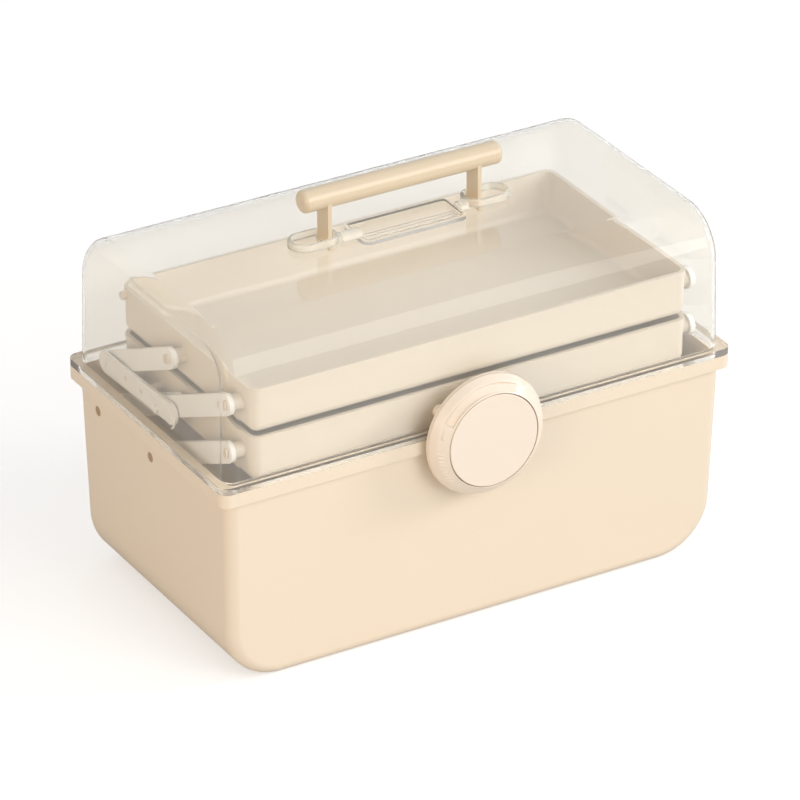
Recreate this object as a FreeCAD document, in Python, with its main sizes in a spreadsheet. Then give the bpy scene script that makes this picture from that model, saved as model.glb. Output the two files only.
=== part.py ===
import FreeCAD, Part
import Sketcher
import os
import re
from math import pi
from FreeCAD import Placement, Rotation, Vector

# Portable medicine box: a moulded tub with a clear hinged lid, two open trays
# that rise on parallel arms, a pull-up carrying handle and a turning front latch.
# Millimetres. +Z is up, the front is -Y, and the origin is the middle of the
# tub's flat underside. Lengths and angles below drive every piece.

SIZES = {
    # tub
    "collar_length": 330, "collar_width": 182, "collar_radius": 6, "collar_height": 8,
    "seam_height": 127, "tub_end_top": 160.2, "tub_end_bottom": 157.5,
    "tub_side_top": 88.3, "tub_side_bottom": 84, "tub_corner": 34, "tub_edge": 7,
    "tub_wall": 2.6,
    # lid
    "seam_gap": 0.15, "flange_thickness": 4.3, "lid_height": 87.3, "lid_end_bottom": 160.5,
    "lid_end_top": 158.2, "lid_side": 86.5, "lid_shoulder": 29, "lid_edge": 8, "lid_wall": 2,
    # rear hinge
    "hinge_y": 94.8, "hinge_spacing": 180, "knuckle_radius": 3.2, "knuckle_length": 12,
    "lid_knuckle_length": 7, "knuckle_gap": 0.3, "hinge_pin_radius": 1.5,
    # trays
    "tray_length": 282, "tray_front": 81, "tray_rear": 67.4, "tray_height": 28,
    "tray_pitch": 30, "tray_drop": 3, "tray_wall": 2, "tray_corner": 6,
    "tray_foot": 5.6, "rim_height": 3, "rim_step": 0.6,
    # arms and the pins that carry them
    "arm_length": 78.4, "arm_tilt": 25.9, "arm_half_width": 6.3, "arm_thickness": 3,
    "arm_spread": 62, "outer_plane": 147, "inner_plane": 143, "lower_pin_y": 64,
    "lower_pin_drop": 17.3, "upper_pin_y": 65.2, "upper_pin_rise": 11.6, "arm_gap": 0.3,
    "tub_pin_radius": 2, "tub_pin_head": 3, "head_depth": 1.2, "head_inset": 0.2,
    "head_gap": 0.1, "boss_radius": 4.5,
    "stud_radius": 2.4, "snap_radius": 2.9, "snap_length": 1.6, "snap_slit": 0.8,
    "running_clearance": 0.06, "press_clearance": 0.02, "piece_gap": 0.3, "lap": 1, "cut_reach": 5,
    # side plates
    "plate_length": 76.8, "plate_tilt": 2.5, "plate_half_width": 6.5,
    "plate_thickness": 2, "plate_gap": 1, "peg_radius": 2.3, "front_peg_reach": 2.2, "rear_peg_reach": 0.6,
    "plate_stud_y": 22, "plate_stud_spacing": 18, "plate_stud_rise": 13.3,
    "plate_stud_radius": 2.5, "plate_peg_radius": 1.7, "lug_y": 61.5, "lug_drop": 5,
    "lug_radius": 2.6, "lug_reach": 3,
    # handle
    "grip_radius": 6.75, "grip_length": 116, "grip_rise": 27.2, "cap_length": 6,
    "cap_round": 3, "post_spacing": 96.8, "post_thickness": 2.5, "post_width": 12.4,
    "stop_lug_height": 2.4, "stop_lug_reach": 1.6, "post_clearance": 0.4,
    "bezel_length": 30, "bezel_width": 19, "bezel_height": 4.2, "bezel_wall": 2.2,
    "bezel_offset": 7.5, "end_flat": 0.2, "clip_radius": 4.4, "clip_wall": 1.1, "left_clip_length": 12.4,
    "right_clip_length": 5, "clip_y": 4, "trough_width": 22, "trough_depth": 2.2,
    "trough_corner": 2, "trough_rib": 0.9, "trough_rib_pitch": 3,
    # latch
    "knob_x": 1.9, "knob_drop": 2.3, "base_back": 95, "base_thickness": 1.8, "base_radius": 37,
    "mount_spacing": 48, "mount_rise": 14, "mount_radius": 4, "mount_peg": 2.4,
    "knob_radius": 36.5, "knob_depth": 9.4, "shoulder_radius": 34.4, "shoulder_drop": 4.9,
    "shoulder_round": 1, "knob_wall": 3, "shaft_radius": 5, "spigot_radius": 3.5,
    "face_radius": 28.1, "face_thickness": 2.2, "face_groove": 0.6, "face_round": 0.5,
    "crank_thickness": 1.5, "crank_hub": 6, "finger_reach": 8.9, "finger_radius": 2.3,
    "finger_shank": 1.2, "finger_length": 3.1, "strike_width": 5.4, "strike_height": 2.5, "strike_reach": 1.9,
}

# Levels that follow from the sizes above: whatever stands on the seam moves with it
LEVELS = {
    "lid_top": "=seam_height+lid_height",
    "grip_height": "=lid_top+grip_rise",
    "lower_tray_base": "=seam_height-tray_drop",
    "lower_pin_z": "=lower_tray_base-lower_pin_drop",
    "upper_pin_z": "=lower_tray_base+upper_pin_rise",
    "plate_stud_z": "=lower_tray_base+plate_stud_rise",
    "knob_z": "=seam_height-knob_drop",
    "mount_z": "=seam_height+mount_rise",
}

doc = FreeCAD.newDocument("MedicineBox")
sheet = doc.addObject("Spreadsheet::Sheet", "Sizes")
CELLS = dict(SIZES, **LEVELS)
for row, (alias, value) in enumerate(CELLS.items(), start=1):
    sheet.set("A%d" % row, alias.replace("_", " "))
    sheet.set("B%d" % row, str(value))
    sheet.setAlias("B%d" % row, alias)
doc.recompute()

ALIAS = re.compile(r"\b(" + "|".join(sorted(CELLS, key=len, reverse=True)) + r")\b")
NODES = []
LEVEL_TOLERANCE = 0.01
LEAST_CUT = 0.001
SAME_WAY = 0.999
EDGE_BAND = 0.5
SHORTEST_RIDGE = 10
TROUGH_RIBS = 3


def formula(text):
    """Write a size formula with the sheet's name in front of each alias."""
    return ALIAS.sub(r"Sizes.\1", str(text))


def amount(text):
    """Value of a size formula now, for first positions and for choosing edges."""
    result = sheet.evalExpression(formula(text))
    return float(getattr(result, "Value", result))


def bind(item, prop, text):
    item.setExpression(prop, formula(text))


def new_body(label):
    body = doc.addObject("PartDesign::Body", label)
    body.Label = label
    NODES.append(body)
    return body


def origin_plane(body, role):
    for feature in body.Origin.OriginFeatures:
        if feature.Role == role:
            return feature


def new_sketch(body, name, role, offset="0", x="0", y="0"):
    """Sketch on one of the body's own planes; offset is along the plane's normal."""
    sketch = body.newObject("Sketcher::SketchObject", name)
    sketch.AttachmentSupport = [(origin_plane(body, role), "")]
    sketch.MapMode = "FlatFace"
    bind(sketch, "AttachmentOffset.Base.z", offset)
    bind(sketch, "AttachmentOffset.Base.x", x)
    bind(sketch, "AttachmentOffset.Base.y", y)
    return sketch


def fix_point(sketch, geometry, point, x, y):
    """Tie a point to the sketch's origin by two driving distances."""
    across = sketch.addConstraint(
        Sketcher.Constraint("DistanceX", -1, 1, geometry, point, amount(x)))
    bind(sketch, "Constraints[%d]" % across, x)
    up = sketch.addConstraint(
        Sketcher.Constraint("DistanceY", -1, 1, geometry, point, amount(y)))
    bind(sketch, "Constraints[%d]" % up, y)


def outline(sketch, corners):
    """Closed straight-sided outline through corners given as pairs of formulas."""
    places = [Vector(amount(x), amount(y), 0) for x, y in corners]
    lines = []
    for start, end in zip(places, places[1:] + places[:1]):
        lines.append(sketch.addGeometry(Part.LineSegment(start, end)))
    for line, following in zip(lines, lines[1:] + lines[:1]):
        sketch.addConstraint(Sketcher.Constraint("Coincident", line, 2, following, 1))
    for line, (x, y) in zip(lines, corners):
        fix_point(sketch, line, 1, x, y)


def circle(sketch, x, y, radius):
    centre = Vector(amount(x), amount(y), 0)
    ring = sketch.addGeometry(Part.Circle(centre, Vector(0, 0, 1), amount(radius)))
    fix_point(sketch, ring, 3, x, y)
    size = sketch.addConstraint(Sketcher.Constraint("Radius", ring, amount(radius)))
    bind(sketch, "Constraints[%d]" % size, radius)


def rounded_rectangle(sketch, length, width, radius):
    """Rectangle with four equal round corners, centred on the sketch's origin."""
    half_x, half_y, round_off = amount(length) / 2, amount(width) / 2, amount(radius)
    inner_x, inner_y = half_x - round_off, half_y - round_off
    quarters = [(inner_x, inner_y, 0), (-inner_x, inner_y, 1),
                (-inner_x, -inner_y, 2), (inner_x, -inner_y, 3)]
    arcs = []
    for x, y, turn in quarters:
        ring = Part.Circle(Vector(x, y, 0), Vector(0, 0, 1), round_off)
        arcs.append(sketch.addGeometry(Part.ArcOfCircle(ring, turn * pi / 2, (turn + 1) * pi / 2)))
    sides = [
        Part.LineSegment(Vector(inner_x, half_y, 0), Vector(-inner_x, half_y, 0)),
        Part.LineSegment(Vector(-half_x, inner_y, 0), Vector(-half_x, -inner_y, 0)),
        Part.LineSegment(Vector(-inner_x, -half_y, 0), Vector(inner_x, -half_y, 0)),
        Part.LineSegment(Vector(half_x, -inner_y, 0), Vector(half_x, inner_y, 0))]
    lines = [sketch.addGeometry(side) for side in sides]
    for arc, line, following in zip(arcs, lines, arcs[1:] + arcs[:1]):
        sketch.addConstraint(Sketcher.Constraint("Tangent", arc, 2, line, 1))
        sketch.addConstraint(Sketcher.Constraint("Tangent", line, 2, following, 1))
    for line in (lines[0], lines[2]):
        sketch.addConstraint(Sketcher.Constraint("Horizontal", line))
    for line in (lines[1], lines[3]):
        sketch.addConstraint(Sketcher.Constraint("Vertical", line))
    for arc in arcs[1:]:
        sketch.addConstraint(Sketcher.Constraint("Equal", arcs[0], arc))
    size = sketch.addConstraint(Sketcher.Constraint("Radius", arcs[0], round_off))
    bind(sketch, "Constraints[%d]" % size, radius)
    fix_point(sketch, arcs[0], 3, "(%s)/2-(%s)" % (length, radius), "(%s)/2-(%s)" % (width, radius))
    sketch.addConstraint(Sketcher.Constraint("Symmetric", arcs[0], 3, arcs[2], 3, -1, 1))


def slot(sketch, reach, radius):
    """Round-ended bar from the sketch's origin to a point `reach` along its x axis."""
    far, round_off = amount(reach), amount(radius)
    near_ring = Part.Circle(Vector(0, 0, 0), Vector(0, 0, 1), round_off)
    far_ring = Part.Circle(Vector(far, 0, 0), Vector(0, 0, 1), round_off)
    if far < 0:
        near_ring, far_ring = far_ring, near_ring
    left = sketch.addGeometry(Part.ArcOfCircle(near_ring, pi / 2, 3 * pi / 2))
    right = sketch.addGeometry(Part.ArcOfCircle(far_ring, -pi / 2, pi / 2))
    low, high = min(0, far), max(0, far)
    below = sketch.addGeometry(Part.LineSegment(Vector(low, -round_off, 0), Vector(high, -round_off, 0)))
    above = sketch.addGeometry(Part.LineSegment(Vector(high, round_off, 0), Vector(low, round_off, 0)))
    for first, second in ((left, below), (below, right), (right, above), (above, left)):
        sketch.addConstraint(Sketcher.Constraint("Tangent", first, 2, second, 1))
    size = sketch.addConstraint(Sketcher.Constraint("Radius", left, round_off))
    bind(sketch, "Constraints[%d]" % size, radius)
    fix_point(sketch, left, 3, "min(0;%s)" % reach, "0")
    fix_point(sketch, right, 3, "max(0;%s)" % reach, "0")


def pad(body, sketch, length, symmetric=False, backwards=False):
    feature = body.newObject("PartDesign::Pad", sketch.Name + "_pad")
    feature.Profile = sketch
    if symmetric:
        feature.SideType = "Symmetric"
    feature.Reversed = backwards
    bind(feature, "Length", length)
    doc.recompute()
    return feature


def pocket(body, sketch, length, backwards=False, symmetric=False):
    before = body.Shape.Volume
    feature = body.newObject("PartDesign::Pocket", sketch.Name + "_cut")
    feature.Profile = sketch
    if symmetric:
        feature.SideType = "Symmetric"
    feature.Reversed = backwards
    bind(feature, "Length", length)
    doc.recompute()
    if body.Shape.Volume > before - LEAST_CUT:
        raise RuntimeError("the cut %s removes nothing" % feature.Name)
    return feature


def revolve(body, sketch):
    """Full turn about the sketch's own vertical axis."""
    feature = body.newObject("PartDesign::Revolution", sketch.Name + "_turn")
    feature.Profile = sketch
    feature.ReferenceAxis = (sketch, ["V_Axis"])
    feature.Angle = 360
    doc.recompute()
    return feature


def fillet(body, base, edges, radius):
    feature = body.newObject("PartDesign::Fillet", base.Name + "_round")
    feature.Base = (base, edges)
    bind(feature, "Radius", radius)
    doc.recompute()
    return feature


def edges_where(feature, test):
    return ["Edge%d" % n for n, edge in enumerate(feature.Shape.Edges, start=1) if test(edge.BoundBox)]


def faces_facing(feature, direction):
    names = []
    for n, face in enumerate(feature.Shape.Faces, start=1):
        if isinstance(face.Surface, Part.Plane) and face.normalAt(0, 0).dot(direction) > SAME_WAY:
            names.append("Face%d" % n)
    return names


def taper(body, base, role, wide, narrow, wide_level, narrow_level, length):
    """Trim a wedge off two opposite sides, so that they lean in towards the narrow level."""
    sketch = new_sketch(body, base.Name + "_taper", role)
    for sign in ("", "-"):
        outline(sketch, [("%s(%s)" % (sign, wide), wide_level), ("%s(%s)" % (sign, narrow), narrow_level),
                         ("%s(%s+cut_reach)" % (sign, wide), narrow_level),
                         ("%s(%s+cut_reach)" % (sign, wide), wide_level)])
    return pocket(body, sketch, length, symmetric=True)


def hollow(body, base, opening, wall):
    feature = body.newObject("PartDesign::Thickness", base.Name + "_shell")
    feature.Base = (base, opening)
    feature.Reversed = True
    bind(feature, "Value", wall)
    doc.recompute()
    return feature


def is_flat(box, axis, level):
    """True for an edge that lies at one level along an axis (0 x, 1 y, 2 z)."""
    low = (box.XMin, box.YMin, box.ZMin)[axis]
    high = (box.XMax, box.YMax, box.ZMax)[axis]
    return abs(low - level) < LEVEL_TOLERANCE and abs(high - level) < LEVEL_TOLERANCE


# Derived places, as formulas of the sizes
RUN = "(arm_length*cos(arm_tilt))"
RISE = "(arm_length*sin(arm_tilt))"
FLANGE_BOTTOM = "(seam_height+seam_gap)"
FLANGE_TOP = "(seam_height+seam_gap+flange_thickness)"
OUTER_FACE = "(outer_plane+arm_thickness)"
PLATE_PLANE = "(outer_plane+arm_thickness+plate_gap)"
LOWER_FRONT_Y = "(lower_pin_y-arm_spread)"
UPPER_FRONT_Y = "(upper_pin_y-arm_spread)"
TRAY_WALL_IN = "(tray_length/2-rim_step-lap)"
# The end wall's outer face at the height of the tub's arm pins
PIN_WALL = "(tub_end_bottom+(tub_end_top-tub_end_bottom)*lower_pin_z/seam_height)"
SIDES = (("left", -1), ("right", 1))


def mirrored(side, text):
    return "(%d)*(%s)" % (side, text)


def outward(side):
    """Pads from a sideways plane run along +X, so the left side runs backwards."""
    return side < 0


def round_boss(body, name, side, start, y, z, radius, length):
    sketch = new_sketch(body, name, "YZ_Plane", mirrored(side, start))
    circle(sketch, y, z, radius)
    return pad(body, sketch, length, backwards=outward(side))


def round_hole(body, name, side, start, y, z, radius, length):
    sketch = new_sketch(body, name, "YZ_Plane", mirrored(side, start))
    circle(sketch, y, z, radius)
    return pocket(body, sketch, length, backwards=not outward(side))


def knuckle(body, name, centre, length, root_low, root_high):
    """Hinge knuckle: a web from the rim behind which the barrel stands, and its bore."""
    web = new_sketch(body, name + "_web", "YZ_Plane", centre)
    outline(web, [("collar_width/2-lap", root_low), ("hinge_y", root_low),
                  ("hinge_y", root_high), ("collar_width/2-lap", root_high)])
    pad(body, web, length, symmetric=True)
    barrel = new_sketch(body, name + "_barrel", "YZ_Plane", centre)
    circle(barrel, "hinge_y", "seam_height", "knuckle_radius")
    pad(body, barrel, length, symmetric=True)
    bore = new_sketch(body, name + "_bore", "YZ_Plane", centre)
    circle(bore, "hinge_y", "seam_height", "hinge_pin_radius+running_clearance")
    pocket(body, bore, length, symmetric=True)


def make_tub():
    body = new_body("tub_shell")
    profile = new_sketch(body, "tub_profile", "XZ_Plane")
    outline(profile, [("-tub_end_bottom", "0"), ("tub_end_bottom", "0"),
                      ("tub_end_top", "seam_height"), ("-tub_end_top", "seam_height")])
    block = pad(body, profile, "2*tub_side_top", symmetric=True)
    leaned = taper(body, block, "YZ_Plane", "tub_side_top", "tub_side_bottom", "seam_height", "0",
                   "3*tub_end_top")
    low = edges_where(leaned, lambda box: is_flat(box, 2, 0) and box.YLength > SHORTEST_RIDGE)
    cornered = fillet(body, leaned, low, "tub_corner")
    half = amount("tub_side_bottom") - EDGE_BAND
    rims = edges_where(cornered, lambda box: not is_flat(box, 2, amount("seam_height"))
                       and (box.YMin > half or box.YMax < -half))
    smooth = fillet(body, cornered, rims, "tub_edge")
    hollow(body, smooth, faces_facing(smooth, Vector(0, 0, 1)), "tub_wall")

    collar = new_sketch(body, "collar", "XY_Plane", "seam_height-collar_height")
    rounded_rectangle(collar, "collar_length", "collar_width", "collar_radius")
    rounded_rectangle(collar, "2*tub_end_top-tub_wall", "2*tub_side_top-tub_wall", "tub_edge-tub_wall/2")
    pad(body, collar, "collar_height")

    for side_name, side in SIDES:
        for pin, plane, y in (("rear", "(inner_plane+arm_thickness)", "lower_pin_y"),
                              ("front", OUTER_FACE, LOWER_FRONT_Y)):
            start = "%s+arm_gap" % plane
            name = "%s_%s" % (pin, side_name)
            round_boss(body, "boss_" + name, side, start, y, "lower_pin_z", "boss_radius",
                       "%s-tub_wall/2-%s-arm_gap" % (PIN_WALL, plane))
            round_hole(body, "pin_hole_" + name, side, start, y, "lower_pin_z",
                       "tub_pin_radius+running_clearance", "tub_end_top-%s" % plane)
            head = new_sketch(body, "head_seat_" + name, "YZ_Plane", mirrored(side, "tub_end_top"))
            circle(head, y, "lower_pin_z", "tub_pin_head+running_clearance")
            pocket(body, head, "head_depth+tub_end_top-%s" % PIN_WALL, backwards=outward(side))
        knuckle(body, "tub_knuckle_" + side_name, mirrored(side, "hinge_spacing/2"), "knuckle_length",
                "seam_height-collar_height", "seam_height")


def make_strike():
    """Catch on the front of the tub's collar, under which the latch's finger swings."""
    body = new_body("latch_strike")
    rib = new_sketch(body, "rib", "XZ_Plane", "collar_width/2")
    outline(rib, [("-knob_x-strike_width/2", "seam_height-collar_height"),
                  ("-knob_x+strike_width/2", "seam_height-collar_height"),
                  ("-knob_x+strike_width/2", "seam_height-collar_height+strike_height"),
                  ("-knob_x-strike_width/2", "seam_height-collar_height+strike_height")])
    pad(body, rib, "strike_reach")


def make_tub_pins():
    """Headed pins through the tub's end walls that carry the two lower arms."""
    for side_name, side in SIDES:
        for pin, plane, y in (("rear", "inner_plane", "lower_pin_y"),
                              ("front", "outer_plane", LOWER_FRONT_Y)):
            body = new_body("arm_pin_%s_%s" % (pin, side_name))
            head_face = "(%s-head_inset)" % PIN_WALL
            shank = new_sketch(body, "shank", "YZ_Plane", mirrored(side, plane))
            circle(shank, y, "lower_pin_z", "tub_pin_radius")
            pad(body, shank, "%s-%s" % (head_face, plane), backwards=outward(side))
            head = new_sketch(body, "head", "YZ_Plane", mirrored(side, head_face))
            circle(head, y, "lower_pin_z", "tub_pin_head")
            pad(body, head, "head_depth-head_inset-head_gap", backwards=not outward(side))


def make_hinge_pins():
    for side_name, side in SIDES:
        body = new_body("hinge_pin_" + side_name)
        rod = new_sketch(body, "rod", "YZ_Plane", mirrored(side, "hinge_spacing/2"))
        circle(rod, "hinge_y", "seam_height", "hinge_pin_radius")
        pad(body, rod, "knuckle_length+2*(knuckle_gap+lid_knuckle_length)", symmetric=True)


def make_lid():
    body = new_body("lid_shell")
    profile = new_sketch(body, "lid_profile", "YZ_Plane")
    outline(profile, [("-lid_side", FLANGE_BOTTOM), ("lid_side", FLANGE_BOTTOM),
                      ("lid_side", "lid_top"), ("-lid_side", "lid_top")])
    block = pad(body, profile, "2*lid_end_bottom", symmetric=True)
    leaned = taper(body, block, "XZ_Plane", "lid_end_bottom", "lid_end_top", FLANGE_BOTTOM, "lid_top",
                   "3*lid_side")
    ridge = edges_where(leaned, lambda box: is_flat(box, 2, amount("lid_top"))
                        and box.XLength > SHORTEST_RIDGE)
    shouldered = fillet(body, leaned, ridge, "lid_shoulder")
    near = amount("lid_end_top") - EDGE_BAND
    rims = edges_where(shouldered, lambda box: not is_flat(box, 2, amount(FLANGE_BOTTOM))
                       and (box.XMin > near or box.XMax < -near))
    smooth = fillet(body, shouldered, rims, "lid_edge")
    hollow(body, smooth, faces_facing(smooth, Vector(0, 0, -1)), "lid_wall")

    flange = new_sketch(body, "flange", "XY_Plane", FLANGE_BOTTOM)
    rounded_rectangle(flange, "collar_length", "collar_width", "collar_radius")
    rounded_rectangle(flange, "2*lid_end_bottom-lid_wall", "2*lid_side-lid_wall", "lid_edge-lid_wall/2")
    pad(body, flange, "flange_thickness")

    make_trough(body)
    for side_name, side in SIDES:
        opening = new_sketch(body, "post_slot_" + side_name, "XY_Plane", "lid_top",
                             x=mirrored(side, "post_spacing/2"))
        rounded_rectangle(opening, "post_thickness+2*post_clearance", "post_width+2*post_clearance",
                          "post_clearance")
        pocket(body, opening, "lid_wall+lap")
        peg = new_sketch(body, "latch_hole_" + side_name, "XZ_Plane", "lid_side")
        circle(peg, mirrored(side, "mount_spacing/2") + "-knob_x", "mount_z", "mount_peg+running_clearance")
        pocket(body, peg, "lid_wall+lap")
        for place, shift in (("inner", -1), ("outer", 1)):
            step = "(%d)*(knuckle_length+lid_knuckle_length+2*knuckle_gap)/2" % shift
            centre = "%s+%s" % (mirrored(side, "hinge_spacing/2"), step)
            knuckle(body, "lid_knuckle_%s_%s" % (side_name, place), centre, "lid_knuckle_length",
                    FLANGE_BOTTOM, FLANGE_TOP)


# The clips start beside the oval collars, and the shallow trough lies between the clips
CLIP_START = "(post_spacing/2+bezel_offset-bezel_length/2-piece_gap)"
TROUGH_LEFT = "(left_clip_length+piece_gap-%s)" % CLIP_START
TROUGH_RIGHT = "(%s-right_clip_length-piece_gap)" % CLIP_START


def make_trough(body):
    """Shallow trough in the lid's top under the grip, with fine ribs along its front half."""
    middle = "(%s+%s)/2" % (TROUGH_LEFT, TROUGH_RIGHT)
    length = "(%s-%s)" % (TROUGH_RIGHT, TROUGH_LEFT)
    under = new_sketch(body, "trough_under", "XY_Plane", "lid_top-lid_wall", x=middle)
    rounded_rectangle(under, length + "+2*lid_wall", "trough_width+2*lid_wall",
                      "trough_corner+lid_wall")
    pad(body, under, "trough_depth", backwards=True)
    dip = new_sketch(body, "trough_dip", "XY_Plane", "lid_top", x=middle)
    rounded_rectangle(dip, length, "trough_width", "trough_corner")
    pocket(body, dip, "trough_depth")
    for n in range(TROUGH_RIBS):
        rib = new_sketch(body, "trough_rib_%d" % n, "XY_Plane", "lid_top-trough_depth", x=middle,
                         y="-(%d)*trough_rib_pitch" % (n + 1))
        rounded_rectangle(rib, length + "-2*trough_rib", "trough_rib", "trough_rib/3")
        pad(body, rib, "trough_rib")


def make_handle_fittings():
    """Oval collars round the posts and the clear clips beside them, on the lid's top."""
    for side_name, side in SIDES:
        bezel = new_body("handle_bezel_" + side_name)
        oval = new_sketch(bezel, "oval", "XY_Plane", "lid_top",
                          x=mirrored(side, "post_spacing/2+bezel_offset"))
        rounded_rectangle(oval, "bezel_length", "bezel_width", "bezel_width/2-end_flat")
        rounded_rectangle(oval, "bezel_length-2*bezel_wall", "bezel_width-2*bezel_wall",
                          "bezel_width/2-bezel_wall-end_flat")
        ring = pad(bezel, oval, "bezel_height")
        limit = amount("bezel_width/2-bezel_wall/2")
        rim = edges_where(ring, lambda box: is_flat(box, 2, amount("lid_top+bezel_height"))
                          and (box.YMax > limit or box.YMin < -limit))
        fillet(bezel, ring, rim, "bezel_wall/2")

    for side_name, side, length in (("left", -1, "left_clip_length"), ("right", 1, "right_clip_length")):
        clip = new_body("post_clip_" + side_name)
        arch = new_sketch(clip, "arch", "YZ_Plane", mirrored(side, CLIP_START))
        half_ring(arch, "-clip_y", "lid_top", "clip_radius", "clip_radius-clip_wall")
        pad(clip, arch, length, backwards=not outward(side))


def half_ring(sketch, x, y, outer, inner):
    """Upper half of a ring, standing on a flat."""
    centre = Vector(amount(x), amount(y), 0)
    arcs = []
    for radius in (outer, inner):
        ring = Part.Circle(centre, Vector(0, 0, 1), amount(radius))
        arc = sketch.addGeometry(Part.ArcOfCircle(ring, 0, pi))
        fix_point(sketch, arc, 3, x, y)
        size = sketch.addConstraint(Sketcher.Constraint("Radius", arc, amount(radius)))
        bind(sketch, "Constraints[%d]" % size, radius)
        arcs.append(arc)
    for end, sign in ((1, 1), (2, -1)):
        start = centre + Vector(sign * amount(outer), 0, 0)
        finish = centre + Vector(sign * amount(inner), 0, 0)
        foot = sketch.addGeometry(Part.LineSegment(start, finish))
        sketch.addConstraint(Sketcher.Constraint("Coincident", arcs[0], end, foot, 1))
        sketch.addConstraint(Sketcher.Constraint("Coincident", arcs[1], end, foot, 2))
        sketch.addConstraint(Sketcher.Constraint("Horizontal", foot))
        level = sketch.addConstraint(Sketcher.Constraint("DistanceY", -1, 1, foot, 1, amount(y)))
        bind(sketch, "Constraints[%d]" % level, y)


def make_handle():
    """Round grip on two flat straps that slide through the lid."""
    grip = new_body("handle_grip")
    bar = new_sketch(grip, "bar", "YZ_Plane")
    circle(bar, "0", "grip_height", "grip_radius")
    pad(grip, bar, "grip_length", symmetric=True)

    for side_name, side in SIDES:
        cap = new_body("grip_cap_" + side_name)
        disc = new_sketch(cap, "disc", "YZ_Plane", mirrored(side, "grip_length/2"))
        circle(disc, "0", "grip_height", "grip_radius")
        plug = pad(cap, disc, "cap_length", backwards=outward(side))
        rim = edges_where(plug, lambda box: is_flat(box, 0, side * amount("grip_length/2+cap_length")))
        fillet(cap, plug, rim, "cap_round")

        post = new_body("handle_post_" + side_name)
        strap = new_sketch(post, "strap", "YZ_Plane", mirrored(side, "post_spacing/2"))
        half = "(post_width/2)"
        lug = "(post_width/2+stop_lug_reach)"
        lug_top = "(lid_top-lid_wall-running_clearance)"
        lug_low = "(lid_top-lid_wall-running_clearance-stop_lug_height)"
        outline(strap, [("-" + lug, lug_low), (lug, lug_low), (lug, lug_top), (half, lug_top),
                        (half, "grip_height"), ("-" + half, "grip_height"), ("-" + half, lug_top),
                        ("-" + lug, lug_top)])
        pad(post, strap, "post_thickness", symmetric=True)
        saddle = new_sketch(post, "saddle", "YZ_Plane", mirrored(side, "post_spacing/2"))
        circle(saddle, "0", "grip_height", "grip_radius")
        pocket(post, saddle, "post_thickness+2*lap", symmetric=True)


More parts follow.
